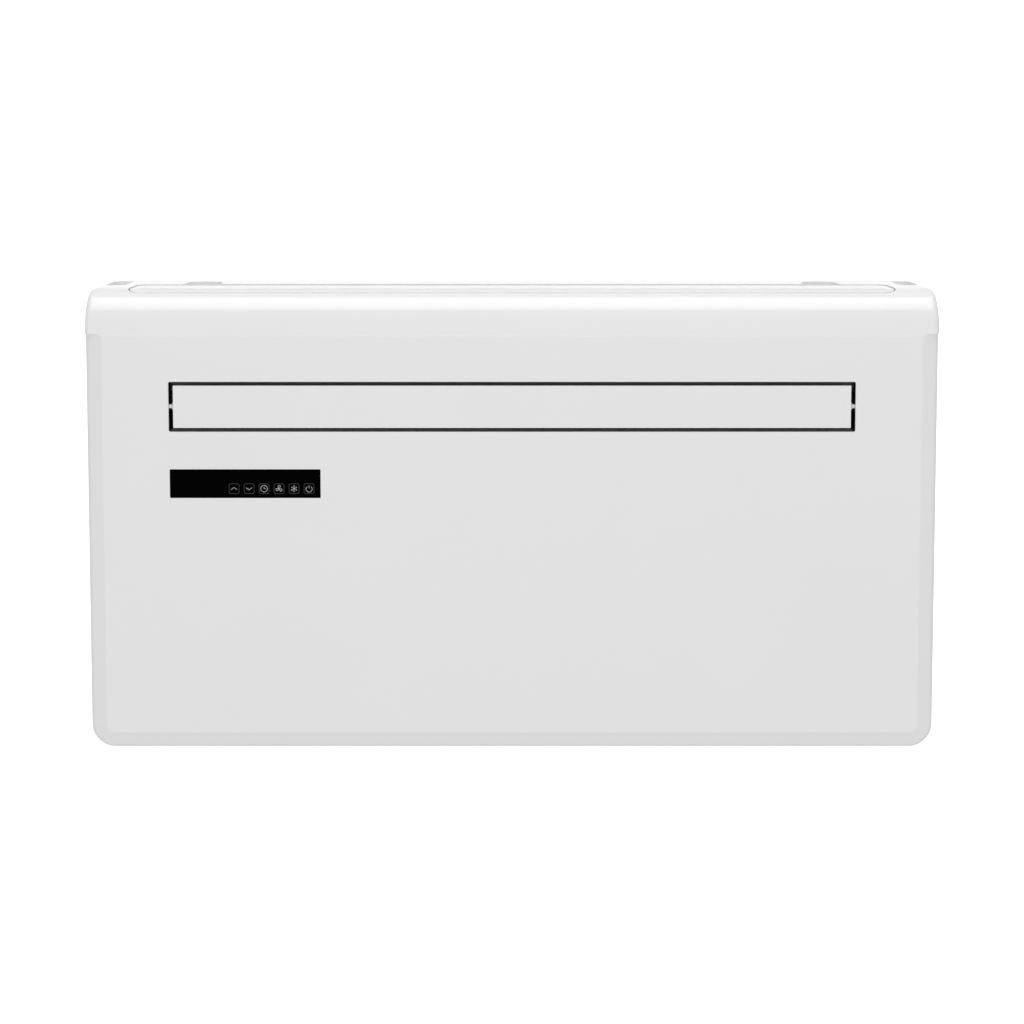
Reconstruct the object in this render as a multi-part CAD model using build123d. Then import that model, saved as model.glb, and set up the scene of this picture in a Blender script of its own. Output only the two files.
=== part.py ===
from build123d import *
import os
from math import cos, pi, radians, sin

# Wall-hung air conditioner that breathes through two ducts in the wall behind it.
# X is the width, -Y the front and +Z up. Heights are measured from the underside while modelling.
# The origin ends up on the wall plane, in the middle of the bracket's bolt pattern.

# Casing
WIDTH, HEIGHT, DEPTH = 1030, 555, 205
WALL = 3  # moulded cover wall
COVER_LOW = -6.5  # the cover's lower edge, below the pan
ROLL_R = 54  # roll of the top into the front
CORNER_R = 29  # lower corners, seen from the front
BEVEL, BEVEL_H = 1.4, 2.4  # narrow bevel between the front face and the roll
CHAMFER_ACROSS, CHAMFER_BACK = 21, 9.5  # chamfer round the front face
RIM_R, TOP_EDGE_R = 10, 7  # rounding of the side edges, below and above the crease
HANG_Z = 475  # bolt pattern of the wall bracket
FIT = 0.3  # gap between pieces that sit in each other

# Outlet and its flap
FLAP_W, FLAP_H, FLAP_T = 817, 51.4, 7
FLAP_Z = 414.7
FLAP_PIN_Y = -DEPTH + 7
OUTLET_W, OUTLET_H, OUTLET_R, FRAME_MOUTH = 828, 60.4, 2, 32.5
PIN_R, NECK_R, BOSS_R, BOSS_LONG, PIN_CLEARANCE = 2.6, 3.9, 6.9, 2.6, 0.05

# Control panel
GLASS_X0, GLASS_X1, GLASS_Z0, GLASS_Z1 = -413.4, -231.5, 304, 338.7
GLASS_T, GLASS_SUNK, GLASS_R = 1.8, 0.25, 1
KEY_X0, KEY_PITCH, KEY_Z, KEY_R = -336, 18.13, 315.2, 5  # touch pads behind the glass

# Top: intake grille, filter slot, finger scoops and corner grips, by distance from the wall
GRILLE_W, GRILLE_FRONT, GRILLE_BACK, GRILLE_R = 932, -172, -88.4, 12
GRILLE_FRAME, GRILLE_UNDER, GRILLE_GAP = 11, 545.8, 1.6
GRILLE_SUNK, SLAT_BEVEL = 0.8, 1.7  # below the hood's top; bevel of the slats' front edges
SLAT_PITCH, SLOT_W, RIB_PITCH, RIB_W, RIB_SUNK = 8.1, 4.6, 91, 3, 3
SLOT_FRONT, SLOT_BACK, SLOT_HALF = -85.5, -79, 412
SCOOP_X, SCOOP_R, SCOOP_END, SCOOP_DEEP = 388, 22, -30, 10
GRIP_X0, GRIP_X1, GRIP_FRONT, GRIP_BACK, GRIP_DEEP = 483, 507, -100, -24, 10

# Filters
FILTER_W, FILTER_H, FILTER_T, FILTER_TOP = 403, 106, 4, 551
FILTER_Y = (SLOT_FRONT + SLOT_BACK) / 2
FILTER_INNER, FILTER_BAR, GUIDE_X = 4, 5, 408.5

# Chassis
SHEET = 1.2
FRAME_HALF, FRAME_FRONT, FRAME_BACK, FRAME_TOP = 490, -178, -12, 540
PLATE_HALF, PLATE_CORNER_R, PLATE_TOP, PLATE_STEP = 508, 22, 551.4, 475
PAN_H = 25
BULKHEAD_Z, PLENUM_TOP = 290, 534

# Holes to the wall side: bracket bolts, cable gland and drain
BOLT_HOLE_R, BOLT_X, BOLT_Z = 3.5, 300, 10
GLAND_X, GLAND_Z, GLAND_THREAD_R, GLAND_BORE_R = 400, 60, 10, 6
DRAIN_X, DRAIN_Z, DRAIN_R, DRAIN_BORE_R = 330, 45, 9, 7

# Coils; the evaporator leans between two points of the YZ plane
COIL_TUBE_R, COIL_TUBES = 3.5, 6
EVAP_LOW, EVAP_HIGH, EVAP_HALF_T, EVAP_HALF = (-60, 431), (-29, 529), 12, 420
COND_X0, COND_X1, COND_Y0, COND_Y1, COND_Z0, COND_Z1 = -52, -16, -172, -22, 32, 274

# Air movers
FAN_Y, FAN_Z, FAN_R, FAN_HALF, FAN_SHAFT_R = -92, 352, 45, 390, 4
FAN_BLADES, FAN_DISCS, BLOWER_BLADES, BLADE_T = 36, 7, 40, 1.3
BLOWER_X, DUCT_Z, BLOWER_R, BLOWER_SHAFT_R = 146.5, 150, 72, 5
CHEEK_X0, CHEEK_X1, TROUGH_HALF = 428.2, 431, 428
DUCT_R, DUCT_WALL, DUCT_LENGTH = 75, 2.5, 40

# Refrigerant circuit
COMPRESSOR_X, COMPRESSOR_Y, COMPRESSOR_R = -405, -98, 54
PIPE_R, SUCTION_R, LIQUID_R = 4.8, 5.5, 3.2

# Control box
BOX_X0, BOX_X1, BOX_Y0, BOX_Y1, BOX_Z0, BOX_Z1 = 286, 482, -172, -92, 110, 280


def save(name, part):
    """Writes one piece with the origin moved to the bracket's bolt pattern."""
    export_step(Pos(0, 0, -HANG_Z) * part, f"parts/{name}.step")


def block(x0, x1, y0, y1, z0, z1):
    """A box between two corners."""
    place = Pos((x0 + x1) / 2, (y0 + y1) / 2, (z0 + z1) / 2)
    return place * Box(abs(x1 - x0), abs(y1 - y0), abs(z1 - z0))


def rod_x(r, x0, x1, y, z):
    return Pos((x0 + x1) / 2, y, z) * Rot(0, 90, 0) * Cylinder(r, abs(x1 - x0))


def rod_y(r, x, y0, y1, z):
    return Pos(x, (y0 + y1) / 2, z) * Rot(90, 0, 0) * Cylinder(r, abs(y1 - y0))


def rod_z(r, x, y, z0, z1):
    return Pos(x, y, (z0 + z1) / 2) * Cylinder(r, abs(z1 - z0))


def rounded_prism(x0, x1, y0, y1, z0, z1, r):
    """An upright prism with rounded corners, seen from above."""
    sketch = Pos((x0 + x1) / 2, (y0 + y1) / 2) * RectangleRounded(x1 - x0, y1 - y0, r)
    return extrude(Pos(0, 0, z0) * sketch, amount=z1 - z0)


def strip(points, thickness, half):
    """Sheet bent along points in the YZ plane, as wide as 2 x half."""
    line = Polyline(*points)
    wall = offset(line, amount=thickness / 2, kind=Kind.INTERSECTION, side=Side.BOTH)
    return extrude(Plane.YZ * make_face(wall), amount=half, both=True)


# ---------------------------------------------------------------- cover
def outline(half, low, r):
    """Front view of the hood, open-ended at the top, with rounded lower corners."""
    tall = HEIGHT + 200
    box = Pos(0, (low + tall) / 2) * Rectangle(2 * half, tall - low)
    return fillet(box.vertices().group_by(Axis.Y)[0], r)


def hood_slab(inset, back):
    """The hood's side profile drawn out over its width, with no chamfer."""
    low, top, r = COVER_LOW + inset, HEIGHT - inset, ROLL_R - BEVEL - inset
    front, roll_y, roll_z = -DEPTH + inset, -DEPTH + ROLL_R, HEIGHT - inset - r
    start = (roll_y - r, roll_z)
    middle = (roll_y - r * cos(pi / 4), roll_z + r * sin(pi / 4))
    crease = (front, roll_z - BEVEL_H)
    sides = Polyline((roll_y, top), (back, top), (back, low), (front, low), crease, start)
    profile = make_face(sides + ThreePointArc(start, middle, (roll_y, top)))
    return extrude(Plane.YZ * profile, amount=WIDTH / 2 - inset, both=True)


def hood_block(inset, back):
    """The hood's chamfered shape, or its inside when inset by the wall."""
    half, low = WIDTH / 2 - inset, COVER_LOW + inset
    shrink = 1 - inset / 24
    across, behind = CHAMFER_ACROSS * shrink, CHAMFER_BACK * shrink
    shoulder = DEPTH - inset - behind
    full = outline(half, low, CORNER_R - inset)
    face = outline(half - across, low + across, max(CORNER_R - inset - across, 2))
    straight = extrude(Plane.XZ.offset(-back) * full, amount=shoulder + back)
    rim = Sketch() + [Plane.XZ.offset(shoulder) * full, Plane.XZ.offset(DEPTH - inset) * face]
    return hood_slab(inset, back) & (straight + loft(rim, ruled=True))


def hood_outside():
    """Outer shape: chamfered up to the crease and only rounded above it."""
    shoulder, crease = -DEPTH + CHAMFER_BACK, HEIGHT - ROLL_R + BEVEL
    lower = hood_block(0, 0)
    lower = fillet([e for e in lower.edges() if abs(e.center().Y - shoulder) < 0.2], RIM_R)
    lower &= block(-WIDTH, WIDTH, -300, 10, -10, crease)
    upper = hood_slab(0, 0) & block(-WIDTH, WIDTH, -300, 10, crease, 600)
    ends = [
        e
        for e in upper.edges()
        if abs(abs(e.center().X) - WIDTH / 2) < 0.01 and e.center().Z > crease + 1 and e.center().Y < -0.5
    ]
    return fillet(ends, TOP_EDGE_R) + lower


def grille_prism(grow, z0, z1):
    half = GRILLE_W / 2 + grow
    return rounded_prism(
        -half, half, GRILLE_FRONT - grow, GRILLE_BACK + grow, z0, z1, GRILLE_R + grow
    )


def in_window(edge):
    """True for an edge of the outlet window."""
    middle = edge.center()
    return abs(middle.X) < OUTLET_W / 2 + 1 and abs(middle.Z - FLAP_Z) < OUTLET_H / 2 + 1


def scoop(grow, z0, z1):
    """Finger scoop behind the filter slot, round at its far end."""
    x0, x1, y = SCOOP_X - SCOOP_R - grow, SCOOP_X + SCOOP_R + grow, SCOOP_END - SCOOP_R
    return rod_z(SCOOP_R + grow, SCOOP_X, y, z0, z1) + block(x0, x1, SLOT_BACK, y, z0, z1)


def grip_pocket(grow):
    """Finger pocket near the end of the top, with rounded corners."""
    return rounded_prism(
        GRIP_X0 - grow, GRIP_X1 + grow, GRIP_FRONT - grow, GRIP_BACK + grow,
        HEIGHT - GRIP_DEEP - grow, 554 if grow else 600, 8 + grow,
    )


def front_cover(outside):
    shell = outside - hood_block(WALL, 20)
    # open underside behind the front lip; the corners stop short of the back plate
    shell -= block(-WIDTH, WIDTH, -DEPTH + 18, 20, COVER_LOW - 1, COVER_LOW + WALL + 1)
    shell -= block(-WIDTH, WIDTH, FRAME_BACK - 1, 20, COVER_LOW - 1, COVER_LOW + CORNER_R + 0.5)
    room = hood_block(0.5, -0.5)
    ledge = grille_prism(GRILLE_GAP + 1.3, GRILLE_UNDER - 5, HEIGHT) - grille_prism(-4, 500, 600)
    shell += (ledge - grille_prism(GRILLE_GAP, GRILLE_UNDER, 600)) & room
    shell -= grille_prism(GRILLE_GAP, GRILLE_UNDER, 600)
    grip_wall, grip = grip_pocket(2), grip_pocket(0)
    bowl = scoop(2, HEIGHT - SCOOP_DEEP - 2, 554) - scoop(0, HEIGHT - SCOOP_DEEP, 600)
    for wall, hole in ((grip_wall, grip), (bowl, scoop(0, HEIGHT - SCOOP_DEEP, 600))):
        shell += [wall, mirror(wall, Plane.YZ)]
        shell -= [hole, mirror(hole, Plane.YZ)]
    shell -= block(-SLOT_HALF, SLOT_HALF, SLOT_FRONT, SLOT_BACK, 500, 600)
    window = Pos(0, FLAP_Z) * RectangleRounded(OUTLET_W, OUTLET_H, OUTLET_R)
    shell -= extrude(Plane.XZ.offset(190) * window, amount=30)
    rim = [e for e in shell.edges() if abs(e.center().Y + DEPTH) < 0.01 and in_window(e)]
    shell = fillet(rim, 0.7)
    # recess for the glass, with a through window for the board behind it
    shell -= glass_plate(0.2, -DEPTH - 9, -DEPTH + GLASS_SUNK + GLASS_T + 0.1)
    shell -= block(GLASS_X0 + 4, GLASS_X1 - 4, -300, -190, GLASS_Z0 + 4, GLASS_Z1 - 4)
    return shell


def intake_grille(outside):
    """Insert just below the top, with bevelled slats over sunk cross ribs."""
    top = HEIGHT - GRILLE_SUNK
    body = outside & grille_prism(0, GRILLE_UNDER, top)
    front, back = GRILLE_FRONT + GRILLE_FRAME, GRILLE_BACK - GRILLE_FRAME
    half = GRILLE_W / 2 - GRILLE_FRAME
    rows = int((back - front + SLAT_PITCH - SLOT_W) / SLAT_PITCH)
    bays = int(2 * half / RIB_PITCH)
    bay = (2 * half + RIB_W) / bays
    for j in range(rows):
        y = front + j * SLAT_PITCH
        body -= block(-half, half, y, y + SLOT_W, HEIGHT - RIB_SUNK, 600)
        if j:
            edge = y + SLOT_W
            corner = Polyline((edge, top - SLAT_BEVEL), (edge + SLAT_BEVEL, top), (edge, top), close=True)
            body -= extrude(Plane.YZ * make_face(corner), amount=half, both=True)
        for i in range(bays):
            x = -half + i * bay
            body -= block(x, x + bay - RIB_W, y, y + SLOT_W, GRILLE_UNDER - 5, 600)
    return body


def outlet_frame():
    """Black frame behind the flap window, with the flap's bearings at its ends."""
    y_back, y_front = -187, -DEPTH + WALL + FIT
    outer = block(-OUTLET_W / 2 - 5, OUTLET_W / 2 + 5, y_front, y_back, FLAP_Z - 35, FLAP_Z + 35)
    inner = block(-OUTLET_W / 2, OUTLET_W / 2, -300, 0, FLAP_Z - FRAME_MOUTH, FLAP_Z + FRAME_MOUTH)
    return outer - inner - rod_x(NECK_R, -500, 500, FLAP_PIN_Y, FLAP_Z)


def flap_bush(side):
    """Pivot bush through the end wall of the outlet frame."""
    gap, wall = OUTLET_W / 2, OUTLET_W / 2 + 6
    neck = rod_x(NECK_R, side * (gap + FIT), side * wall, FLAP_PIN_Y, FLAP_Z)
    return neck - rod_x(PIN_R + PIN_CLEARANCE, side * 400, side * 430, FLAP_PIN_Y, FLAP_Z)


def outlet_flap():
    """Flap, flush with the front when closed, with a stub pin at each end."""
    front, back = -DEPTH, -DEPTH + FLAP_T
    bottom, top = FLAP_Z - FLAP_H / 2, FLAP_Z + FLAP_H / 2
    belly = ThreePointArc((back - 3, bottom), (back + 3.5, FLAP_Z), (back - 3, top))
    face = make_face(Polyline((back - 3, top), (front, top), (front, bottom), (back - 3, bottom)) + belly)
    body = extrude(Plane.YZ * face, amount=FLAP_W / 2, both=True)
    body = fillet([e for e in body.edges().filter_by(Axis.X) if e.center().Y < front + 0.1], 0.8)
    for side in (1, -1):
        boss = Rot(0, side * 90, 0) * Cone(BOSS_R, PIN_R + 0.6, BOSS_LONG)
        body += Pos(side * (FLAP_W + BOSS_LONG) / 2, FLAP_PIN_Y + 0.5, FLAP_Z) * boss
        body += rod_x(PIN_R, side * (FLAP_W / 2 - 6), side * (OUTLET_W / 2 + 5), FLAP_PIN_Y, FLAP_Z)
    return body


def flap_motor():
    """Small stepper motor with an offset shaft at the flap's left end."""
    x1, x0, y = -OUTLET_W / 2 - 6.5, -OUTLET_W / 2 - 24, FLAP_PIN_Y + 6
    can = rod_x(9.5, x0, x1, y, FLAP_Z)
    ears = block(x1 - 1.2, x1, y - 3, y + 3, FLAP_Z - 15, FLAP_Z + 15)
    wires = block(x0 + 3, x1 - 3, y - 4, y + 4, FLAP_Z + 9, FLAP_Z + 12)
    return can + ears + wires


def glass_plate(grow, y0, y1):
    """Plate with the outline of the control glass."""
    middle = Pos((GLASS_X0 + GLASS_X1) / 2, (GLASS_Z0 + GLASS_Z1) / 2)
    face = RectangleRounded(GLASS_X1 - GLASS_X0 + 2 * grow, GLASS_Z1 - GLASS_Z0 + 2 * grow, GLASS_R + grow)
    return extrude(Plane.XZ.offset(-y1) * middle * face, amount=y1 - y0)


def control_glass():
    return glass_plate(0, -DEPTH + GLASS_SUNK, -DEPTH + GLASS_SUNK + GLASS_T)


def display_board():
    """Touch and display board on the back of the cover, behind the glass."""
    board = block(GLASS_X0 - 2, GLASS_X1 + 2, -DEPTH + 8.5, -DEPTH + 10, GLASS_Z0 - 4, GLASS_Z1 + 4)
    display = block(GLASS_X0 + 12, GLASS_X0 + 52, -DEPTH + 3, -DEPTH + 8.5, GLASS_Z0 + 8, GLASS_Z1 - 8)
    keys = [rod_y(KEY_R, KEY_X0 + KEY_PITCH * i, -DEPTH + 2.2, -DEPTH + 8.5, KEY_Z) for i in range(6)]
    return board + display + keys


def cover_group():
    outside = hood_outside()
    save("front_cover", front_cover(outside))
    save("intake_grille", intake_grille(outside))
    save("outlet_frame", outlet_frame())
    save("flap_bush_left", flap_bush(-1))
    save("flap_bush_right", flap_bush(1))
    save("flap_motor", flap_motor())
    save("outlet_flap", outlet_flap())
    save("control_glass", control_glass())
    save("display_board", display_board())


# ---------------------------------------------------------------- filters
def filter_frame(x0, x1, tab_x):
    """Filter frame with cross bars and a pull tab at the finger scoop."""
    y0, y1 = FILTER_Y - FILTER_T / 2, FILTER_Y + FILTER_T / 2
    low = FILTER_TOP - FILTER_H
    rim = block(x0, x1, y0, y1, low, FILTER_TOP)
    columns, rows, bar = 5, 2, FILTER_BAR
    step_x, step_z = (x1 - x0 - bar) / columns, (FILTER_H - bar) / rows
    for i in range(columns):
        for j in range(rows):
            a, b = x0 + bar + i * step_x, low + bar + j * step_z
            rim -= block(a, a + step_x - bar, y0 - 1, y1 + 1, b, b + step_z - bar)
    tab = block(tab_x - 14, tab_x + 14, FILTER_Y + 2.2, FILTER_Y + 8, FILTER_TOP - 1.8, FILTER_TOP + 1.6)
    return rim + tab + block(tab_x - 14, tab_x + 14, y0, FILTER_Y + 3, FILTER_TOP - 1.8, FILTER_TOP + 1.6)


def filter_net(x0, x1):
    y = FILTER_Y
    low = FILTER_TOP - FILTER_H
    return block(x0 + 3, x1 - 3, y - 0.4, y + 0.4, low + 3, FILTER_TOP - 3)


def filter_guides():
    """Three upright rails on a sill, with grooves for the edges of the filter frames."""
    low, high = FILTER_TOP - FILTER_H - 6, PLENUM_TOP
    y0, y1 = FILTER_Y - 5, FILTER_Y + 5
    rails = block(-GUIDE_X - 7, GUIDE_X + 7, y0, y1, low - 3, low)
    for x in (-GUIDE_X, 0, GUIDE_X):
        rails += block(x - 7, x + 7, y0, y1, low, high)
    for side in (-1, 1):
        for x0, x1 in ((3, 9), (GUIDE_X - 8, GUIDE_X - 1)):
            rails -= block(side * x0, side * x1, FILTER_Y - 2.4, FILTER_Y + 2.4, low + 4, high + 1)
    return rails


def filter_group():
    for name, side in (("left", -1), ("right", 1)):
        x0, x1 = sorted((side * FILTER_INNER, side * (FILTER_INNER + FILTER_W)))
        frame = filter_frame(x0, x1, side * SCOOP_X)
        net = filter_net(x0, x1)
        save(f"filter_frame_{name}", frame - net)
        save(f"filter_net_{name}", net)
    save("filter_guides", filter_guides())


# ---------------------------------------------------------------- chassis
def plate_outline(inset):
    """Back plate seen from the front: rounded lower corners, lower at the ends of the top edge."""
    half, low = PLATE_HALF - inset, CORNER_R - PLATE_CORNER_R + inset
    ends = Pos(0, (low + FRAME_TOP - inset) / 2) * Rectangle(2 * half, FRAME_TOP - inset - low)
    ends = fillet(ends.vertices().group_by(Axis.Y)[0], PLATE_CORNER_R - inset)
    step_half, step_top = PLATE_STEP - inset, PLATE_TOP - inset
    return ends + Pos(0, (400 + step_top) / 2) * Rectangle(2 * step_half, step_top - 400)


def back_plate():
    """Shallow steel tray, open to the wall, with holes for the ducts, the cable and the drain."""
    tray = extrude(Plane.XZ * plate_outline(0), amount=-FRAME_BACK)
    tray -= extrude(Plane.XZ.offset(-1) * plate_outline(SHEET), amount=1 - FRAME_BACK - SHEET)
    for x in (-BLOWER_X, BLOWER_X):
        tray -= rod_y(DUCT_R + DUCT_WALL + 0.5, x, -30, 1, DUCT_Z)
    tray -= rod_y(GLAND_THREAD_R + 0.3, GLAND_X, -30, 1, GLAND_Z)
    tray -= rod_y(DRAIN_R + 0.5, DRAIN_X, -30, 1, DRAIN_Z)
    # hooks that drop over the wall bracket's upturned lip
    for x in (-240, 240):
        tray += block(x - 30, x + 30, FRAME_BACK, -2.6, 501.5, 503)
        tray += block(x - 30, x + 30, -3.8, -2.6, 490.5, 503)
    return tray


def wall_bracket():
    """Steel hook rail screwed to the wall; the unit hangs on its upturned lip."""
    shelf = HANG_Z + 12
    rail = block(-360, 360, -2, 0, HANG_Z - 22, shelf) + block(-360, 360, -7, 0, shelf, shelf + 2)
    rail += block(-360, 360, -7, -5.2, shelf, shelf + 12)
    for x in (-BOLT_X, BOLT_X):
        for z in (-BOLT_Z, BOLT_Z):
            rail -= rod_y(BOLT_HOLE_R, x, -10, 1, HANG_Z + z)
    for x in (-160, 160):
        rail -= block(x - 40, x + 40, -3, 1, HANG_Z - 10, HANG_Z + 2)
    return rail


def base_pan():
    """Galvanised pan that closes the underside, with raised feet for the compressor."""
    y0, y1 = -185.5, FRAME_BACK - FIT
    pan = block(-FRAME_HALF, FRAME_HALF, y0, y1, 0, PAN_H)
    hollow = block(-FRAME_HALF + SHEET, FRAME_HALF - SHEET, y0 + SHEET, y1 - SHEET, SHEET, PAN_H + 1)
    pan -= hollow
    for x, y in compressor_feet():
        pan += rod_z(12, x, y, 0.6, 6)
    for x in range(-180, 241, 60):
        pan += block(x - 3, x + 3, -150, -40, 0.6, 3)
    return pan


def compressor_feet():
    """Places of the compressor's three mounting feet."""
    reach = COMPRESSOR_R + 14
    return [
        (COMPRESSOR_X + reach * cos(radians(a)), COMPRESSOR_Y + reach * sin(radians(a)))
        for a in (90, 210, 330)
    ]


def side_plate(side):
    """Sheet end of the chassis with a row of louvres pressed in it."""
    x = side * (FRAME_HALF - 0.1)
    inner = side * (FRAME_HALF - 0.1 - SHEET)
    plate = block(inner, x, FRAME_FRONT, FRAME_BACK - FIT, PAN_H + FIT, FRAME_TOP - 2)
    flange = block(inner, inner - side * 10, FRAME_FRONT, FRAME_FRONT + SHEET, PAN_H + 4, FRAME_TOP - 2)
    for i in range(8):
        z = 330 + 20 * i
        plate -= block(side * 480, side * 520, -150, -60, z, z + 4)
    return plate + flange


def bulkhead():
    """Shelf between the room-air side above and the outdoor-air side below."""
    half = FRAME_HALF - 3
    shelf = block(-half, half, -176, FRAME_BACK - 0.6, BULKHEAD_Z, BULKHEAD_Z + SHEET)
    lip = block(-half, half, -176, -176 + SHEET, BULKHEAD_Z - 12, BULKHEAD_Z + SHEET)
    return shelf + lip


def chassis_group():
    save("back_plate", back_plate())
    save("wall_bracket", wall_bracket())
    save("base_pan", base_pan())
    save("side_plate_left", side_plate(-1))
    save("side_plate_right", side_plate(1))
    save("bulkhead", bulkhead())


# ---------------------------------------------------------------- room-air side
def leaning_slab(half_t, x0, x1, grow=0):
    """Slab along the evaporator's leaning centre line."""
    (ya, za), (yb, zb) = EVAP_LOW, EVAP_HIGH
    length = ((yb - ya) ** 2 + (zb - za) ** 2) ** 0.5
    uy, uz = (yb - ya) / length, (zb - za) / length
    corners = [
        (ya + uz * s * half_t - uy * grow, za - uy * s * half_t - uz * grow) for s in (-1, 1)
    ] + [(yb + uz * s * half_t + uy * grow, zb - uy * s * half_t + uz * grow) for s in (1, -1)]
    face = make_face(Polyline(*corners, close=True))
    return extrude(Plane.YZ.offset(x0) * face, amount=x1 - x0)


def coil_tube_places(count):
    """Centres of the evaporator's tube rows in the YZ plane."""
    (ya, za), (yb, zb) = EVAP_LOW, EVAP_HIGH
    return [
        (ya + (yb - ya) * (i + 0.5) / count, za + (zb - za) * (i + 0.5) / count) for i in range(count)
    ]


def u_bend(y0, z0, y1, z1, x, side):
    """Half ring of tube that joins two tube ends outside the end plate."""
    r = ((y1 - y0) ** 2 + (z1 - z0) ** 2) ** 0.5 / 2
    my, mz = (y0 + y1) / 2, (z0 + z1) / 2
    path = ThreePointArc((x, y0, z0), (x + side * r, my, mz), (x, y1, z1))
    return sweep(Plane(origin=(x, y0, z0), z_dir=(side, 0, 0)) * Circle(COIL_TUBE_R), path=path)


def evaporator_group():
    fins = leaning_slab(EVAP_HALF_T, -EVAP_HALF, EVAP_HALF)
    tubes = coil_tube_places(COIL_TUBES)
    for y, z in tubes:
        fins -= rod_x(COIL_TUBE_R, -EVAP_HALF - 1, EVAP_HALF + 1, y, z)
    save("evaporator_fins", fins)
    pipes = Part()
    for y, z in tubes:
        pipes += rod_x(COIL_TUBE_R, -EVAP_HALF - 8, EVAP_HALF + 8, y, z)
    for i in range(COIL_TUBES - 1):
        side = 1 if i % 2 else -1
        pipes += u_bend(*tubes[i], *tubes[i + 1], side * (EVAP_HALF + 8), side)
    save("evaporator_tubes", pipes)
    plates = Part()
    for x0, x1 in ((-EVAP_HALF - 1.5, -EVAP_HALF), (EVAP_HALF, EVAP_HALF + 1.5)):
        plate = leaning_slab(EVAP_HALF_T, x0, x1, 3)
        for y, z in tubes:
            plate -= rod_x(COIL_TUBE_R, x0 - 1, x1 + 1, y, z)
        plates += plate
    save("evaporator_end_plates", plates)


def drip_tray():
    """Condensate tray under the evaporator; its front edge is the fan's stabiliser."""
    half = TROUGH_HALF
    tray = block(-half, half, -78, -36, 405, 417) - block(-half + 2, half - 2, -76, -38, 407, 430)
    throat = strip([(-78, 406), (-118, 402), (-140, 410), (FRAME_FRONT + 1, 446)], 2, half)
    return tray + throat


def fan_scroll():
    """Scroll behind and under the crossflow fan, rising to the outlet's lower edge."""
    arc = []
    for a in range(40, -121, -20):
        reach = (FAN_R + 5) * (1 + (60 - a) / 900)
        arc.append((FAN_Y + reach * cos(radians(a)), FAN_Z + reach * sin(radians(a))))
    return strip([(-22, 440), (-24, 408), *arc, (FRAME_FRONT + 1, 383)], 2.4, TROUGH_HALF)


def end_cheek(side):
    """End wall of the fan chamber, with a hole for the shaft."""
    x0, x1 = sorted((side * CHEEK_X0, side * CHEEK_X1))
    cheek = block(x0, x1, -176, -14, BULKHEAD_Z + 2, 430)
    return cheek - rod_x(12, x0 - 1, x1 + 1, FAN_Y, FAN_Z)


def crossflow_fan():
    """Long drum of forward-curved blades between end and middle discs."""
    inner, outer = FAN_R - 13, FAN_R - 0.8
    blade = Pos((inner + outer) / 2, 0) * Rot(0, 0, 28) * Rectangle(outer - inner + 1.5, BLADE_T)
    ring = [Rot(0, 0, 360 / FAN_BLADES * i) * blade for i in range(FAN_BLADES)]
    blades = [extrude(Pos(0, 0, -FAN_HALF) * b, amount=2 * FAN_HALF) for b in ring]
    drum = Part() + blades
    disc_t, sleeve_r, sleeve_long = 2.5, 8, 18
    for i in range(FAN_DISCS):
        z = -FAN_HALF + i * (2 * FAN_HALF - disc_t) / (FAN_DISCS - 1) + disc_t / 2
        bore = sleeve_r if i in (0, FAN_DISCS - 1) else inner
        drum += Pos(0, 0, z) * (Cylinder(FAN_R, disc_t) - Cylinder(bore, disc_t + 1))
    for side in (-1, 1):
        sleeve = Cylinder(sleeve_r, sleeve_long) - Cylinder(FAN_SHAFT_R, sleeve_long + 2)
        drum += Pos(0, 0, side * (FAN_HALF + 3 - sleeve_long / 2)) * sleeve
    return Pos(0, FAN_Y, FAN_Z) * Rot(0, 90, 0) * drum


def fan_group():
    save("drip_tray", drip_tray())
    save("fan_scroll", fan_scroll())
    save("fan_cheek_left", end_cheek(-1))
    save("fan_cheek_right", end_cheek(1))
    save("crossflow_fan", crossflow_fan())
    shafts = rod_x(FAN_SHAFT_R, -446, -376, FAN_Y, FAN_Z) + rod_x(FAN_SHAFT_R, 376, 446, FAN_Y, FAN_Z)
    save("fan_shafts", shafts)
    bore = FAN_SHAFT_R + PIN_CLEARANCE
    save("fan_bearing", rod_x(11.5, -440, -431.2, FAN_Y, FAN_Z) - rod_x(bore, -450, -420, FAN_Y, FAN_Z))
    motor = rod_x(38, 434, 488, FAN_Y, FAN_Z) + rod_x(14, 431.3, 434, FAN_Y, FAN_Z)
    motor = motor - rod_x(bore, 430, 447, FAN_Y, FAN_Z)
    for z in (-42, 42):
        motor += block(440, 446, FAN_Y - 6, FAN_Y + 6, FAN_Z + z - 6, FAN_Z + z + 6)
    save("fan_motor", motor)
    save("finger_guard", finger_guard())
    save("intake_plenum", intake_plenum())


def finger_guard():
    """Upright ribs and two cross bars behind the flap."""
    y0, y1, low, high = -169, -163, 376, 429
    guard = block(-424, 424, y0 + 1, y1, low, low + 3) + block(-424, 424, y0 + 1, y1, high - 3, high)
    guard += block(-424, 424, y1 - 2, y1, FLAP_Z - 1.2, FLAP_Z + 1.2)
    ribs = [block(x - 0.8, x + 0.8, y0, y1, low, high) for x in range(-420, 421, 14)]
    return guard + ribs


def intake_plenum():
    """Panel that closes the intake chamber in front of the filters."""
    panel = block(-428, 428, FRAME_FRONT, FRAME_FRONT + 2, 452, PLENUM_TOP)
    for x in (-428, 426):
        panel += block(x, x + 2, FRAME_FRONT, -90, 452, PLENUM_TOP)
    for x in range(-340, 341, 136):
        panel += block(x - 1, x + 1, FRAME_FRONT + 2, FRAME_FRONT + 8, 452, PLENUM_TOP)
    return panel


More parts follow.
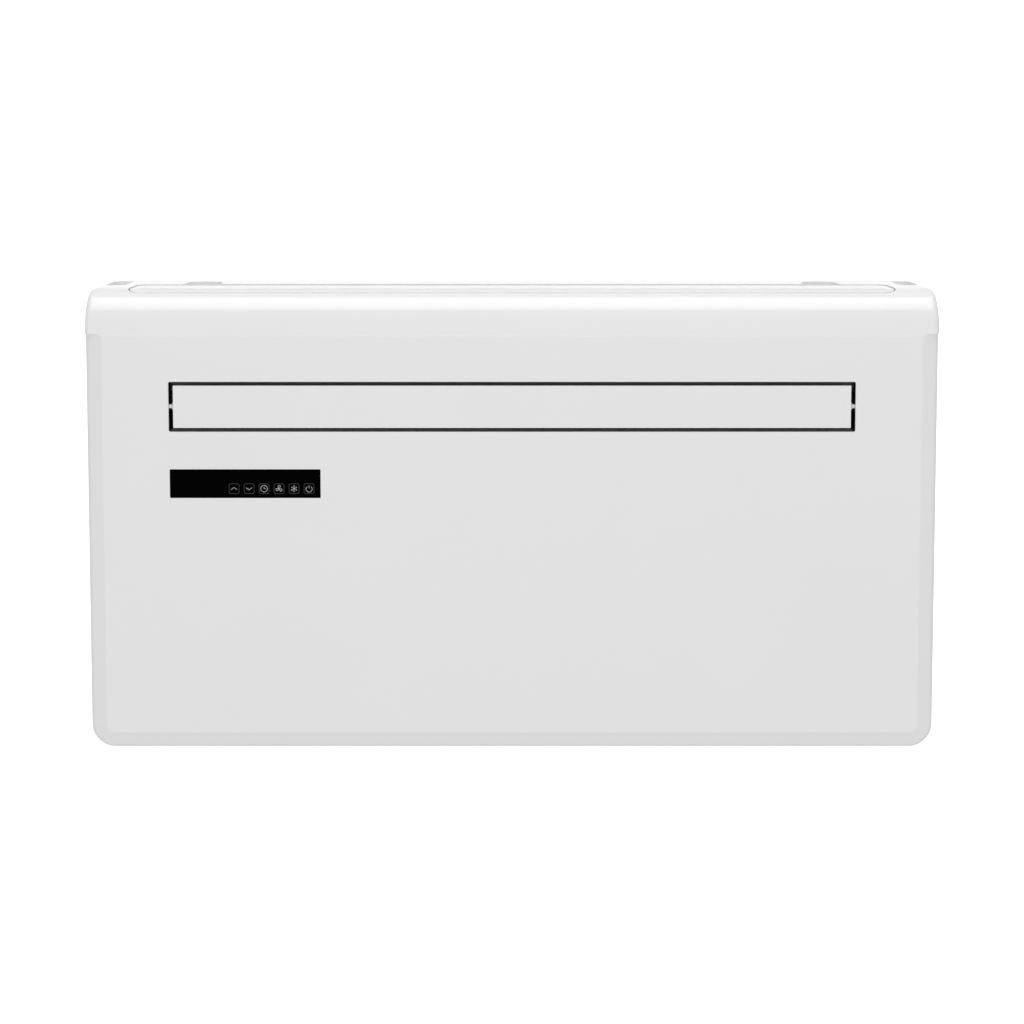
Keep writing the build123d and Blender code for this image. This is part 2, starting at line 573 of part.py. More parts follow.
# ---------------------------------------------------------------- outdoor-air side
def condenser_group():
    rows = [COND_Y0 + 15 + 24 * i for i in range(COIL_TUBES)]
    fins = block(COND_X0, COND_X1, COND_Y0, COND_Y1, COND_Z0, COND_Z1)
    middle = (COND_X0 + COND_X1) / 2
    tubes = Part()
    for y in rows:
        fins -= rod_z(COIL_TUBE_R, middle, y, COND_Z0 - 4, COND_Z1 + 4)
        tubes += rod_z(COIL_TUBE_R, middle, y, COND_Z0 - 3, COND_Z1 + 2)
    for i in range(COIL_TUBES - 1):
        top = i % 2 == 0
        z = COND_Z1 + 2 if top else COND_Z0 - 3
        y0, y1 = rows[i], rows[i + 1]
        bulge = 7 if top else -7
        path = ThreePointArc((middle, y0, z), (middle, (y0 + y1) / 2, z + bulge), (middle, y1, z))
        start = Plane(origin=(middle, y0, z), z_dir=path % 0)
        tubes += sweep(start * Circle(COIL_TUBE_R), path=path)
    save("condenser_fins", fins)
    save("condenser_tubes", tubes)


def blower_group():
    """Centrifugal blower that draws outside air in through the right-hand duct."""
    x, z = BLOWER_X, DUCT_Z
    shaft_r = BLOWER_SHAFT_R
    wheel = rod_y(BLOWER_R, x, -104, -101, z) - rod_y(shaft_r, x, -110, -90, z)
    wheel += rod_y(BLOWER_R, x, -54, -51, z) - rod_y(BLOWER_R - 16, x, -60, -40, z)
    blade = Pos(BLOWER_R - 8, 0) * Rot(0, 0, 35) * Rectangle(15, BLADE_T)
    for i in range(BLOWER_BLADES):
        solid = extrude(Rot(0, 0, 360 / BLOWER_BLADES * i) * blade, amount=52)
        wheel += Pos(x, -52, z) * Rot(90, 0, 0) * solid
    wheel += rod_y(12, x, -101, -84, z) - rod_y(shaft_r, x, -110, -80, z)
    save("blower_wheel", wheel)
    save("blower_shaft", rod_y(shaft_r, x, -127, -86, z))
    motor = rod_y(40, x, -172, -128, z) + rod_y(15, x, -128, -124, z)
    save("blower_motor", motor - rod_y(shaft_r + PIN_CLEARANCE, x, -128, -120, z))
    save("blower_volute", blower_volute(x, z))


def blower_volute(x, z):
    """Snail housing with its mouth towards the condenser."""
    mouth_x = COND_X1 + 2
    mouth = Pos((x + mouth_x) / 2, z) * Rectangle(x - mouth_x, 192)
    snail = (mouth + Pos(x, z) * Circle(102)) & (Pos(x - 10, z) * Rectangle(360, 204))
    outer = extrude(Plane.XZ.offset(42) * snail, amount=76)
    inner_sketch = offset(snail, amount=-2)
    inner = extrude(Plane.XZ.offset(44) * inner_sketch, amount=72)
    inner += block(mouth_x - 5, x, -116, -44, z - 92, z + 92)
    eye = rod_y(DUCT_R - 6, x, -60, -30, z) + rod_y(18, x, -130, -110, z)
    return outer - inner - eye


def plenum():
    """Box between the condenser and the left-hand duct; open to the condenser."""
    x0, x1 = -262, COND_X0 - 2
    box = block(x0, x1, -174, -15, 28, 284)
    box -= block(x0 + 2, x1 + 5, -172, -17, 30, 282)
    return box - rod_y(DUCT_R + DUCT_WALL + 0.5, -BLOWER_X, -20, 0, DUCT_Z)


def duct_collar(x):
    """Spigot for a wall duct, clamped to the back plate by its flange."""
    ring = rod_y(DUCT_R + DUCT_WALL, x, -DUCT_LENGTH - 0.5, -0.5, DUCT_Z)
    ring += rod_y(DUCT_R + 12, x, FRAME_BACK - 2, FRAME_BACK - 0.2, DUCT_Z)
    return ring - rod_y(DUCT_R, x, -DUCT_LENGTH - 10, 1, DUCT_Z)


def duct_gasket(x):
    ring = rod_y(DUCT_R + 14, x, FRAME_BACK + SHEET + 0.3, -1.5, DUCT_Z)
    return ring - rod_y(DUCT_R + DUCT_WALL, x, -12, 1, DUCT_Z)


def outdoor_group():
    condenser_group()
    blower_group()
    save("exhaust_plenum", plenum())
    save("duct_collar_in", duct_collar(BLOWER_X))
    save("duct_collar_out", duct_collar(-BLOWER_X))
    save("duct_gaskets", Compound([duct_gasket(BLOWER_X), duct_gasket(-BLOWER_X)]))
    bracket = block(BLOWER_X - 95, BLOWER_X + 95, -176, -173, DUCT_Z - 16, DUCT_Z + 16)
    for x in (BLOWER_X - 95, BLOWER_X + 92):
        bracket += block(x, x + 3, -176, -119, DUCT_Z - 16, DUCT_Z + 16)
    save("blower_bracket", bracket)


# ---------------------------------------------------------------- refrigerant circuit
def can(x, y, z0, z1, r, dome):
    """Upright welded can with domed ends."""
    body = rod_z(r, x, y, z0, z1)
    return fillet(body.edges().filter_by(GeomType.CIRCLE), dome)


def pipe(points, bend, r=PIPE_R):
    """Round copper tube through points with rounded bends."""
    path = FilletPolyline(*points, radius=bend)
    return sweep(Plane(origin=path @ 0, z_dir=path % 0) * Circle(r), path=path)


def refrigerant_group():
    x, y, r = COMPRESSOR_X, COMPRESSOR_Y, COMPRESSOR_R
    body = can(x, y, 18, 226, r, 22) + rod_z(16, x, y, 224, 234)
    feet = Compound([rod_z(13, fx, fy, 14, 17) for fx, fy in compressor_feet()])
    for fx, fy in compressor_feet():
        arm = block(min(x, fx) - 8, max(x, fx) + 8, min(y, fy) - 8, max(y, fy) + 8, 17, 20)
        body += arm & rod_z(r + 24, x, y, 10, 30)
    for fx, fy in compressor_feet():
        body -= rod_z(4.3, fx, fy, 0, 40)
    save("compressor", body)
    grommets = [rod_z(10, fx, fy, 6, 17) - rod_z(4.3, fx, fy, 0, 40) for fx, fy in compressor_feet()]
    save("compressor_grommets", Compound(grommets))
    bolts = [rod_z(4, fx, fy, 6, 27) + rod_z(7, fx, fy, 20, 25) for fx, fy in compressor_feet()]
    save("compressor_bolts", Compound(bolts))
    ax, ay = x + 84, y - 28
    save("accumulator", can(ax, ay, 70, 200, 24, 9))
    suction = pipe([(ax, ay, 200), (ax, ay, 262), (ax + 20, -30, 262), (ax + 20, -30, 285)], 14, SUCTION_R)
    save("suction_pipe", suction)
    discharge = pipe([(x, y, 234), (x, y, 275), (x - 60, y, 275), (x - 60, -40, 275), (x - 60, -40, 60)], 14)
    save("discharge_pipe", discharge)
    elbow = pipe([(ax, ay, 70), (ax, ay, 48), (x + r - 2, ay + 12, 48)], 10, SUCTION_R)
    save("compressor_inlet", elbow)
    dx, dy = -280, -60
    dryer = can(dx, dy, 90, 190, 12, 5)
    liquid = pipe([(dx, dy, 190), (dx, dy, 262), (dx, dy + 26, 262), (dx, dy + 26, 284)], 12, LIQUID_R)
    save("filter_dryer", dryer)
    save("liquid_pipe", liquid)


# ---------------------------------------------------------------- electrics and drain
def electrics_group():
    box = block(BOX_X0, BOX_X1, BOX_Y0, BOX_Y1, BOX_Z0, BOX_Z1)
    box -= block(BOX_X0 + 2, BOX_X1 - 2, BOX_Y0 - 1, BOX_Y1 - 2, BOX_Z0 + 2, BOX_Z1 - 2)
    save("control_box", box)
    lid = block(BOX_X0 - 1, BOX_X1 + 1, BOX_Y0 - 2.3, BOX_Y0 - 0.3, BOX_Z0 - 1, BOX_Z1 + 1)
    lid = fillet(lid.edges().filter_by(Axis.Y), 4)
    save("control_box_lid", lid)
    board = block(BOX_X0 + 8, BOX_X1 - 8, -108, -106.4, BOX_Z0 + 8, BOX_Z1 - 8)
    for i, (w, h, tall) in enumerate(((24, 20, 16), (16, 16, 12), (30, 14, 10), (12, 12, 18))):
        board += block(BOX_X0 + 20 + 40 * i, BOX_X0 + 20 + 40 * i + w, -108 - tall, -108, 130, 130 + h)
        board += rod_y(5 + i, BOX_X0 + 34 + 36 * i, -128, -108, 180 + 6 * i)
    save("control_board", board)
    save("run_capacitor", can(BOX_X1 - 30, -136, 210, 268, 15, 2))
    terminal = block(BOX_X0 + 16, BOX_X0 + 96, -128, -108.3, 232, 256)
    for i in range(5):
        terminal -= rod_y(4, BOX_X0 + 24 + 16 * i, -140, -122, 244)
    save("terminal_block", terminal)
    gland = rod_y(13, GLAND_X, FRAME_BACK - 6, FRAME_BACK, GLAND_Z)
    gland += rod_y(GLAND_THREAD_R, GLAND_X, FRAME_BACK - 14, -1.5, GLAND_Z)
    save("cable_gland", gland - rod_y(GLAND_BORE_R, GLAND_X, -60, 1, GLAND_Z))
    drain = rod_y(DRAIN_R, DRAIN_X, FRAME_BACK - 18, -1, DRAIN_Z)
    drain += rod_y(DRAIN_R + 4, DRAIN_X, FRAME_BACK + SHEET + 0.2, FRAME_BACK + 3, DRAIN_Z)
    save("drain_spigot", drain - rod_y(DRAIN_BORE_R, DRAIN_X, -60, 1, DRAIN_Z))


def main():
    os.makedirs("parts", exist_ok=True)
    cover_group()
    filter_group()
    chassis_group()
    evaporator_group()
    fan_group()
    outdoor_group()
    refrigerant_group()
    electrics_group()


main()
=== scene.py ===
from math import cos, pi, radians, sin

import bpy
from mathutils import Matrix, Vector


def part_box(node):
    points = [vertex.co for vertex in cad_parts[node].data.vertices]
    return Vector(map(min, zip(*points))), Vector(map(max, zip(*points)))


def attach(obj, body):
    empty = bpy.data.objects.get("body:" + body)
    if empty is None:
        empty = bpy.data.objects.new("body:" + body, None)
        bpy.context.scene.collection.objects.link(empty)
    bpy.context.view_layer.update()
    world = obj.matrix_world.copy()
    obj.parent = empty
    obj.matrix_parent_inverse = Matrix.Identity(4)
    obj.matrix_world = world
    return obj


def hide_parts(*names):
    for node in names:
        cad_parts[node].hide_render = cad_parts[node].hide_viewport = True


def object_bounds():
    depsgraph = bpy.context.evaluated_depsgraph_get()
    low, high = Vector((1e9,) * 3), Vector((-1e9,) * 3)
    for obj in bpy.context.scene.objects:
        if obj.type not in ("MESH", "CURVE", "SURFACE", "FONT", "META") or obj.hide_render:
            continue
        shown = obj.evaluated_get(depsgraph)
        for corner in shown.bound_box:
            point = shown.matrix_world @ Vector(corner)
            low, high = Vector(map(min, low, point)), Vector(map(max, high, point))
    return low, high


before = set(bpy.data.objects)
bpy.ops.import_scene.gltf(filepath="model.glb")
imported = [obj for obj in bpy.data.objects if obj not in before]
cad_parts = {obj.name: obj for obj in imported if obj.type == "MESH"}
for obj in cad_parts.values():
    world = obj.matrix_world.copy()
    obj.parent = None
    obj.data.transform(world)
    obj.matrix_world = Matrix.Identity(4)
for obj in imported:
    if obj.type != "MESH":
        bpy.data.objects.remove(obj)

cad_low, cad_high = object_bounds()

# ---------------------------------------------------------------- studio
# A pale floor far below the wall-hung unit, a white surround that lights it less from the sides, a large
# soft lamp above, one in front, and a strip lamp that is only mirrored, as the highlight along the roll.
# The camera stands a little higher than the unit and looks slightly down.
VIEW_DISTANCE = 2.70  # from the front face
VIEW_HEIGHT = 0.7354  # above the pan's underside
VIEW_PITCH = 0.0899  # radians
LENS = 79.3
SHIFT_DOWN = 0.165
SURROUND_WHITE = 1.03  # as the camera and mirrored rays see it
SURROUND_BELOW, SURROUND_ABOVE, SURROUND_SIDE = 0.77, 0.83, 0.45  # as it lights; the last is a share
FLOOR_DROP = 1.3

front_y, under = cad_low.y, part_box("base_pan")[0].z
camera = bpy.data.objects.new("camera", bpy.data.cameras.new("camera"))
bpy.context.scene.collection.objects.link(camera)
camera.location = (0, front_y - VIEW_DISTANCE, under + VIEW_HEIGHT)
camera.rotation_euler = (pi / 2 - VIEW_PITCH, 0, 0)
camera.data.lens = LENS
camera.data.sensor_width = 36
camera.data.shift_y = -SHIFT_DOWN
camera.data.clip_start, camera.data.clip_end = 0.05, 60
bpy.context.scene.camera = camera
bpy.context.scene.view_settings.view_transform = "Standard"


def linear(hex_colour):
    """Linear colour from an sRGB hex value."""
    channels = [int(hex_colour[i : i + 2], 16) / 255 for i in (1, 3, 5)]
    return [c / 12.92 if c <= 0.04045 else ((c + 0.055) / 1.055) ** 2.4 for c in channels] + [1]


def put(tree, kind, settings=None, **inputs):
    """Adds a node with its settings; each input is a value or the socket that feeds it."""
    node = tree.nodes.new("ShaderNode" + kind)
    for name, value in (settings or {}).items():
        setattr(node, name, value)
    for name, value in inputs.items():
        key = int(name[1:]) if name[0] == "i" and name[1:].isdigit() else name.replace("_", " ")
        if isinstance(value, bpy.types.NodeSocket):
            tree.links.new(value, node.inputs[key])
        else:
            node.inputs[key].default_value = value
    return node


def lamp(name, place, aim, size, power):
    """A soft rectangular lamp that points at aim."""
    light = bpy.data.lights.new(name, "AREA")
    light.shape, light.size, light.size_y, light.energy = "RECTANGLE", size[0], size[1], power
    obj = bpy.data.objects.new(name, light)
    obj.location = place
    obj.rotation_euler = (Vector(aim) - Vector(place)).to_track_quat("-Z", "Y").to_euler()
    bpy.context.scene.collection.objects.link(obj)
    return obj


world = bpy.data.worlds.new("studio")
world.use_nodes = True
world.node_tree.nodes.clear()
ray = put(world.node_tree, "LightPath")
sky = put(world.node_tree, "SeparateXYZ", None, Vector=put(world.node_tree, "TexCoord").outputs["Generated"])
glow = put(
    world.node_tree, "MapRange", {"clamp": True}, Value=sky.outputs["Z"], From_Min=-0.5, From_Max=0.5,
    To_Min=SURROUND_BELOW, To_Max=SURROUND_ABOVE,
)
sideways = put(world.node_tree, "Math", {"operation": "ABSOLUTE"}, i0=sky.outputs["X"])
fade = put(
    world.node_tree, "MapRange", {"clamp": True}, Value=sideways.outputs[0], From_Min=0.25, From_Max=0.95,
    To_Min=1.0, To_Max=SURROUND_SIDE,
)
faded = put(world.node_tree, "Math", {"operation": "MULTIPLY"}, i0=glow.outputs[0], i1=fade.outputs[0])
seen = put(
    world.node_tree, "Mix", None, i0=ray.outputs["Is Diffuse Ray"], i2=SURROUND_WHITE, i3=faded.outputs[0],
)
surround = put(world.node_tree, "Background", None, Color=(1, 1, 1, 1), Strength=seen.outputs[0])
put(world.node_tree, "OutputWorld", None, Surface=surround.outputs[0])
bpy.context.scene.world = world
# The two upper lamps aim a hair off straight down, which keeps their long sides along X.
lamp("top_lamp", (0, 0.32, 1.7), (0, 0.321, 0), (3.0, 1.9), 9)
front_lamp = lamp("front_lamp", (0, -3.2, 0.5), (0, 0, -0.1), (2.6, 1.4), 26)
front_lamp.visible_glossy = False
strip_lamp = lamp("strip_lamp", (0, -0.38, 1.7), (0, -0.379, 0), (1.8, 1.3), 19)
strip_lamp.visible_diffuse = False

floor_mesh = bpy.data.meshes.new("studio_floor")
floor_mesh.from_pydata([(-40, -40, 0), (40, -40, 0), (40, 40, 0), (-40, 40, 0)], [], [(0, 1, 2, 3)])
studio_floor = bpy.data.objects.new("studio_floor", floor_mesh)
studio_floor.location.z = under - FLOOR_DROP
bpy.context.scene.collection.objects.link(studio_floor)
studio_floor.visible_diffuse = studio_floor.visible_glossy = False


def finish(name):
    """A new material with a Principled shader: the material, its tree and the shader."""
    made = bpy.data.materials.new(name)
    made.use_nodes = True
    made.node_tree.nodes.clear()
    shader = put(made.node_tree, "BsdfPrincipled")
    put(made.node_tree, "OutputMaterial", None, Surface=shader.outputs[0])
    return made, made.node_tree, shader


pale_paper, tree, shader = finish("pale_paper_sweep")
grain = put(tree, "TexNoise", None, Scale=3.0, Detail=2.0)
tint = put(tree, "MapRange", None, Value=grain.outputs[0], To_Min=0.93, To_Max=0.96)
tree.links.new(tint.outputs[0], shader.inputs["Base Color"])
shader.inputs["Roughness"].default_value = 0.9
shader.inputs["Emission Color"].default_value = (1, 1, 1, 1)
shader.inputs["Emission Strength"].default_value = 0.8
floor_mesh.materials.append(pale_paper)


def dress(material, *nodes):
    """Gives CAD nodes their finish."""
    for name in nodes:
        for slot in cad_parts[name].material_slots:
            slot.material = material


# ---------------------------------------------------------------- hood, grille insert and flap
# Injection-moulded ABS in one white, polished to a soft gloss. The hood is a single shell that clips
# over the chassis; the grille insert drops in its top and the flap turns on stub pins.
# moulded_white_abs: glossy plastic with long soft highlights. IOR 1.53, not metallic, roughness 0.13 to 0.17.
white_abs, tree, shader = finish("moulded_white_abs")
place = put(tree, "TexCoord")
peel = put(tree, "TexNoise", None, Vector=place.outputs["Object"], Scale=160.0, Detail=2.0)
bump = put(tree, "Bump", None, Height=peel.outputs[0], Strength=0.03, Distance=0.0004)
tree.links.new(bump.outputs[0], shader.inputs["Normal"])
flow = put(tree, "TexNoise", None, Vector=place.outputs["Object"], Scale=5.0, Detail=3.0)
tint = put(tree, "Mix", {"data_type": "RGBA"}, i0=flow.outputs[0], i6=linear("#E9E9E9"), i7=linear("#ECECEC"))
tree.links.new(tint.outputs[2], shader.inputs["Base Color"])
gloss = put(tree, "MapRange", None, Value=flow.outputs[0], To_Min=0.13, To_Max=0.17)
tree.links.new(gloss.outputs[0], shader.inputs["Roughness"])
shader.inputs["IOR"].default_value = 1.53
dress(white_abs, "front_cover", "intake_grille", "outlet_flap", "duct_collar_in", "duct_collar_out",
      "terminal_block")


# ---------------------------------------------------------------- black mouldings
# Finger guard, fan rotors, volute, intake panel, gland and spigot: black ABS straight from a spark-eroded
# mould, so the surface is finely grained. The outlet frame and the flap's bushes are painted darker: painted
# shade.
# moulded_black_abs: dull black with a weak wide highlight. IOR 1.53, not metallic, roughness 0.5 to 0.62.
black_abs, tree, shader = finish("moulded_black_abs")
place = put(tree, "TexCoord")
spark = put(tree, "TexNoise", None, Vector=place.outputs["Object"], Scale=1400.0, Detail=3.0)
bump = put(tree, "Bump", None, Height=spark.outputs[0], Strength=0.25, Distance=0.0002)
tree.links.new(bump.outputs[0], shader.inputs["Normal"])
cloud = put(tree, "TexNoise", None, Vector=place.outputs["Object"], Scale=14.0, Detail=3.0)
tint = put(tree, "Mix", {"data_type": "RGBA"}, i0=cloud.outputs[0], i6=linear("#0B0B0C"),
           i7=linear("#161617"))
tree.links.new(tint.outputs[2], shader.inputs["Base Color"])
dull = put(tree, "MapRange", None, Value=cloud.outputs[0], To_Min=0.50, To_Max=0.62)
tree.links.new(dull.outputs[0], shader.inputs["Roughness"])
shader.inputs["IOR"].default_value = 1.53
shader.inputs["Specular IOR Level"].default_value = 0.3
dress(black_abs, "finger_guard", "crossflow_fan", "intake_plenum", "blower_volute",
      "blower_wheel", "cable_gland", "drain_spigot")

# black_abs_with_painted_shade: the same black plastic, painted darker as the shade in the outlet's gap.
shade_black_abs = black_abs.copy()
shade_black_abs.name = "black_abs_with_painted_shade"
# Painted shade: both blacks are darker than the plastic itself, standing in for the shade inside the outlet.
for node in shade_black_abs.node_tree.nodes:
    if node.bl_idname == "ShaderNodeMix":
        node.inputs[6].default_value, node.inputs[7].default_value = linear("#020202"), linear("#050505")
    elif node.bl_idname == "ShaderNodeBsdfPrincipled":
        node.inputs["Specular IOR Level"].default_value = 0.08
dress(shade_black_abs, "outlet_frame", "flap_bush_left", "flap_bush_right")


# ---------------------------------------------------------------- control glass
# One strip of float glass, printed black on its back and anti-reflection coated in front, with six touch
# keys. Each key is a fine square with a brighter mark, screen-printed in pale ink.
# Key sizes are in millimetres.
# black_printed_glass: deep black, hardly mirrors the room. IOR 1.52, not metallic, roughness 0.04 to 0.09.
glass, tree, shader = finish("black_printed_glass")
place = put(tree, "TexCoord")
wipe = put(tree, "TexNoise", None, Vector=place.outputs["Object"], Scale=40.0, Detail=4.0)
smear = put(tree, "MapRange", None, Value=wipe.outputs[0], To_Min=0.04, To_Max=0.09)
tree.links.new(smear.outputs[0], shader.inputs["Roughness"])
shader.inputs["Base Color"].default_value = linear("#010101")
shader.inputs["IOR"].default_value = 1.52
shader.inputs["Specular IOR Level"].default_value = 0.01
dress(glass, "control_glass")

# screen_printed_ink: flat matt ink under the coating, pale for the marks and dim for the squares.
pale_ink, tree, shader = finish("screen_printed_ink")
place = put(tree, "TexCoord")
mesh_marks = put(tree, "TexNoise", None, Vector=place.outputs["Object"], Scale=4000.0)
tint = put(tree, "Mix", {"data_type": "RGBA"}, i0=mesh_marks.outputs[0], i6=linear("#A8A8A8"),
           i7=linear("#CCCCCC"))
tree.links.new(tint.outputs[2], shader.inputs["Base Color"])
shader.inputs["Roughness"].default_value = 0.8
dim_ink = pale_ink.copy()
dim_ink.name = "screen_printed_ink_dim"
dim_mix = [n for n in dim_ink.node_tree.nodes if n.bl_idname == "ShaderNodeMix"][0]
dim_mix.inputs[6].default_value, dim_mix.inputs[7].default_value = linear("#3E3E40"), linear("#4E4E50")


def piece(name, verts, faces, material, body, smooth=False):
    """A mesh piece that rides on a body and wears the given material."""
    mesh = bpy.data.meshes.new(name)
    mesh.from_pydata([Vector(v) for v in verts], [], faces)
    mesh.materials.append(material)
    if smooth:
        mesh.polygons.foreach_set("use_smooth", [True] * len(mesh.polygons))
    obj = bpy.data.objects.new(name, mesh)
    bpy.context.scene.collection.objects.link(obj)
    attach(obj, body)
    return obj


def stroke(points, width, closed, verts, faces):
    """Adds a flat mitred line of even width through (x, z) points; verts are (x, z) too."""
    first, count = len(verts), len(points)
    for i, here in enumerate(points):
        before = points[i - 1] if i or closed else here
        after = points[(i + 1) % count] if i + 1 < count or closed else here
        u = Vector((here[0] - before[0], here[1] - before[1]))
        v = Vector((after[0] - here[0], after[1] - here[1]))
        u = u.normalized() if u.length else v.normalized()
        v = v.normalized() if v.length else u
        along = (u + v).normalized()
        across = Vector((-along.y, along.x)) * width / 2 / max(along.dot(u), 0.4)
        verts += [(here[0] + across.x, here[1] + across.y), (here[0] - across.x, here[1] - across.y)]
    for i in range(count if closed else count - 1):
        a, b = first + 2 * i, first + 2 * ((i + 1) % count)
        faces.append((a, a + 1, b + 1, b))


def arc(radius, start, end, steps, middle=(0, 0)):
    """Points on an arc, angles in degrees."""
    angles = [radians(start + (end - start) * i / steps) for i in range(steps + 1)]
    return [(middle[0] + radius * cos(a), middle[1] + radius * sin(a)) for a in angles]


def petal(turn):
    """One blade of the fan mark."""
    shape = [(0.3, 0.3), (1.9, 3.1), (0.2, 4.0), (-1.2, 2.9), (-0.6, 1.0)]
    c, s = cos(radians(turn)), sin(radians(turn))
    return [(x * c - z * s, x * s + z * c) for x, z in shape]


MM = 0.001
KEY_PITCH, KEY_SIZE, KEY_CORNER = 18.13, 12.0, 2.2
FIRST_KEY_IN, KEY_UP = 77.4, 11.2  # from the glass's left and lower edges
SQUARE_LINE, MARK_LINE = 0.42, 0.54
CLOCK_R, POWER_R = 4.0, 3.7
CHEVRON_HALF, CHEVRON_LOW, CHEVRON_TIP = 3.7, 1.2, 1.5
INK_T = 0.06
glass_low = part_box("control_glass")[0]
key_x0 = glass_low.x / MM + FIRST_KEY_IN
key_z = glass_low.z / MM + KEY_UP
ink_y = glass_low.y - INK_T * MM
snow = [
    ([(0, -3.8), (0, 3.8)], False),
    ([(-3.3, -1.9), (3.3, 1.9)], False),
    ([(-3.3, 1.9), (3.3, -1.9)], False),
]
for k in range(6):
    a = radians(60 * k)
    tip = (2.5 * sin(a), 2.5 * cos(a))
    for spread in (-35, 35):
        b = a + radians(spread)
        snow.append(([tip, (tip[0] + 1.2 * sin(b), tip[1] + 1.2 * cos(b))], False))
marks = [
    [([(-CHEVRON_HALF, -CHEVRON_LOW), (0, CHEVRON_TIP), (CHEVRON_HALF, -CHEVRON_LOW)], False)],
    [([(-CHEVRON_HALF, CHEVRON_LOW), (0, -CHEVRON_TIP), (CHEVRON_HALF, CHEVRON_LOW)], False)],
    [(arc(CLOCK_R, 0, 348, 29), True), ([(0, 2.3), (0, 0), (1.8, 0)], False)],
    [(petal(turn), True) for turn in (0, 120, 240)],
    snow,
    [(arc(POWER_R, 128, 412, 24, (0, -0.4)), False), ([(0, 0.3), (0, 4.1)], False)],
]
square_verts, square_faces, mark_verts, mark_faces = [], [], [], []
half = KEY_SIZE / 2 - KEY_CORNER
corners = ((half, half, 0), (-half, half, 90), (-half, -half, 180), (half, -half, 270))
for i, lines in enumerate(marks):
    dx, dz = key_x0 + KEY_PITCH * i, key_z
    outline = [p for cx, cz, start in corners for p in arc(KEY_CORNER, start, start + 90, 5, (cx, cz))]
    stroke([(x + dx, z + dz) for x, z in outline], SQUARE_LINE, True, square_verts, square_faces)
    for points, closed in lines:
        stroke([(x + dx, z + dz) for x, z in points], MARK_LINE, closed, mark_verts, mark_faces)
for name, verts, faces, ink in (
    ("key_squares", square_verts, square_faces, dim_ink), ("key_marks", mark_verts, mark_faces, pale_ink),
):
    piece(name, [(x * MM, ink_y, z * MM) for x, z in verts], faces, ink, "cover")


# ---------------------------------------------------------------- circuit boards
# Display board behind the glass and power board in the control box: glass-fibre laminate, etched copper
# tracks under green solder resist.
# green_solder_resist: glossy lacquer, tracks a shade lighter. IOR 1.55, not metallic, roughness 0.25.
resist, tree, shader = finish("green_solder_resist")
place = put(tree, "TexCoord")
tracks = put(tree, "TexBrick", {"offset": 0.35}, Vector=place.outputs["Object"], Scale=260.0,
             Color1=linear("#0E5A2C"), Color2=linear("#0B4A24"), Mortar=linear("#2C8A4C"))
tree.links.new(tracks.outputs["Color"], shader.inputs["Base Color"])
ridge = put(tree, "Bump", None, Height=tracks.outputs["Fac"], Strength=0.3, Distance=0.0001)
tree.links.new(ridge.outputs[0], shader.inputs["Normal"])
shader.inputs["Roughness"].default_value = 0.25
shader.inputs["IOR"].default_value = 1.55
dress(resist, "display_board", "control_board")


# ---------------------------------------------------------------- filters
# Two lift-out frames of grey ABS, each with a net of nylon thread welded in. The net is made of single
# threads, upright ones in front and level ones behind, crossing 1.6 mm apart. The same grey ABS makes the
# guides, fan scroll, drip tray, fan cheeks and control box.
# moulded_grey_abs: matt mid grey with a fine grain. IOR 1.53, not metallic, roughness 0.5 to 0.6.
grey_abs, tree, shader = finish("moulded_grey_abs")
place = put(tree, "TexCoord")
spark = put(tree, "TexNoise", None, Vector=place.outputs["Object"], Scale=1200.0, Detail=3.0)
bump = put(tree, "Bump", None, Height=spark.outputs[0], Strength=0.2, Distance=0.0002)
tree.links.new(bump.outputs[0], shader.inputs["Normal"])
cloud = put(tree, "TexNoise", None, Vector=place.outputs["Object"], Scale=10.0, Detail=3.0)
tint = put(tree, "Mix", {"data_type": "RGBA"}, i0=cloud.outputs[0], i6=linear("#8E9193"),
           i7=linear("#9A9D9F"))
tree.links.new(tint.outputs[2], shader.inputs["Base Color"])
dull = put(tree, "MapRange", None, Value=cloud.outputs[0], To_Min=0.50, To_Max=0.60)
tree.links.new(dull.outputs[0], shader.inputs["Roughness"])
shader.inputs["IOR"].default_value = 1.53
dress(grey_abs, "filter_frame_left", "filter_frame_right", "filter_guides", "fan_scroll", "drip_tray",
      "fan_cheek_left", "fan_cheek_right", "control_box", "control_box_lid")

# nylon_thread: slightly translucent grey thread. IOR 1.53, not metallic, roughness 0.45.
nylon, tree, shader = finish("nylon_thread")
place = put(tree, "TexCoord")
twist = put(tree, "TexWave", {"bands_direction": "DIAGONAL"}, Vector=place.outputs["Object"], Scale=900.0)
tint = put(tree, "Mix", {"data_type": "RGBA"}, i0=twist.outputs["Fac"], i6=linear("#6E7274"),
           i7=linear("#8A8E90"))
tree.links.new(tint.outputs[2], shader.inputs["Base Color"])
shader.inputs["Roughness"].default_value = 0.45
shader.inputs["IOR"].default_value = 1.53


def add_box(low, high, verts, faces):
    """Adds a closed box between two corners to a mesh's lists."""
    n = len(verts)
    verts += [(x, y, z) for x in (low[0], high[0]) for y in (low[1], high[1]) for z in (low[2], high[2])]
    sides = ((0, 1, 3, 2), (4, 6, 7, 5), (0, 4, 5, 1), (2, 3, 7, 6), (0, 2, 6, 4), (1, 5, 7, 3))
    faces += [tuple(n + i for i in side) for side in sides]


